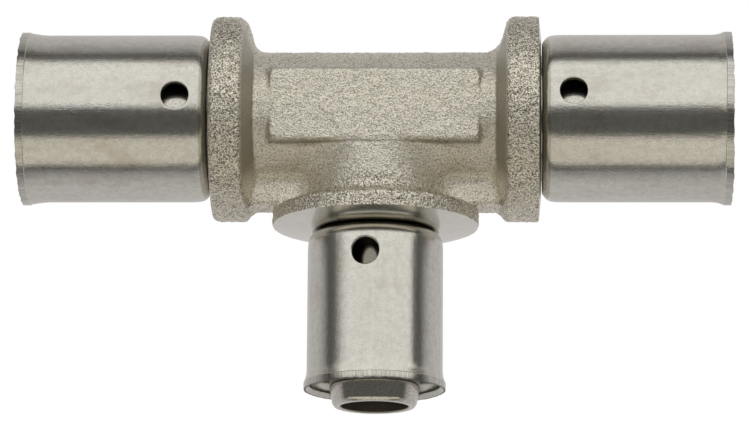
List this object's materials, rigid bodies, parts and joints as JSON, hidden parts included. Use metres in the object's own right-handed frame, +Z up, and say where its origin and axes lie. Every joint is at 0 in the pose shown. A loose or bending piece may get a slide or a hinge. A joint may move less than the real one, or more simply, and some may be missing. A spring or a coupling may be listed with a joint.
{
  "type": "press reducing tee fitting",
  "caption": "Press reducing tee for multilayer pipe: forged plated brass body with a smaller branch, O-ring sealed insert tails and captive stainless press sleeves that turn.",
  "frame": {"origin": "where the run's axis and the branch's axis cross", "axes": "+X along the run, the branch leaves along -Y, +Z up from the surface that the tee lies on"},
  "size_m": [0.095, 0.0529, 0.0274],
  "materials": {
    "plated_brass": "nickel plated, shot-blasted forging with machined faces",
    "stainless_sleeve": "drawn stainless, satin",
    "insulator_plastic": "matt moulded plastic",
    "seal_rubber": "black EPDM"
  },
  "bodies": {
    "tee": {"tee_body": "plated_brass", "insulating_ring_left": "insulator_plastic", "insulating_ring_right": "insulator_plastic", "insulating_ring_branch": "insulator_plastic", "o_ring_left_inner": "seal_rubber", "o_ring_left_outer": "seal_rubber", "o_ring_right_inner": "seal_rubber", "o_ring_right_outer": "seal_rubber", "o_ring_branch_inner": "seal_rubber", "o_ring_branch_outer": "seal_rubber"},
    "left_sleeve": {"sleeve_left": "stainless_sleeve"},
    "right_sleeve": {"sleeve_right": "stainless_sleeve"},
    "branch_sleeve": {"sleeve_branch": "stainless_sleeve"}
  },
  "joints": [
    {"name": "sleeve_left_spin", "type": "hinge", "parent": "tee", "child": "left_sleeve", "pos_m": [-0.035, 0, 0], "axis": [-1, 0, 0], "continuous": true},
    {"name": "sleeve_right_spin", "type": "hinge", "parent": "tee", "child": "right_sleeve", "pos_m": [0.035, 0, 0], "axis": [1, 0, 0], "continuous": true},
    {"name": "sleeve_branch_spin", "type": "hinge", "parent": "tee", "child": "branch_sleeve", "pos_m": [0, -0.027, 0], "axis": [0, -1, 0], "continuous": true}
  ]
}
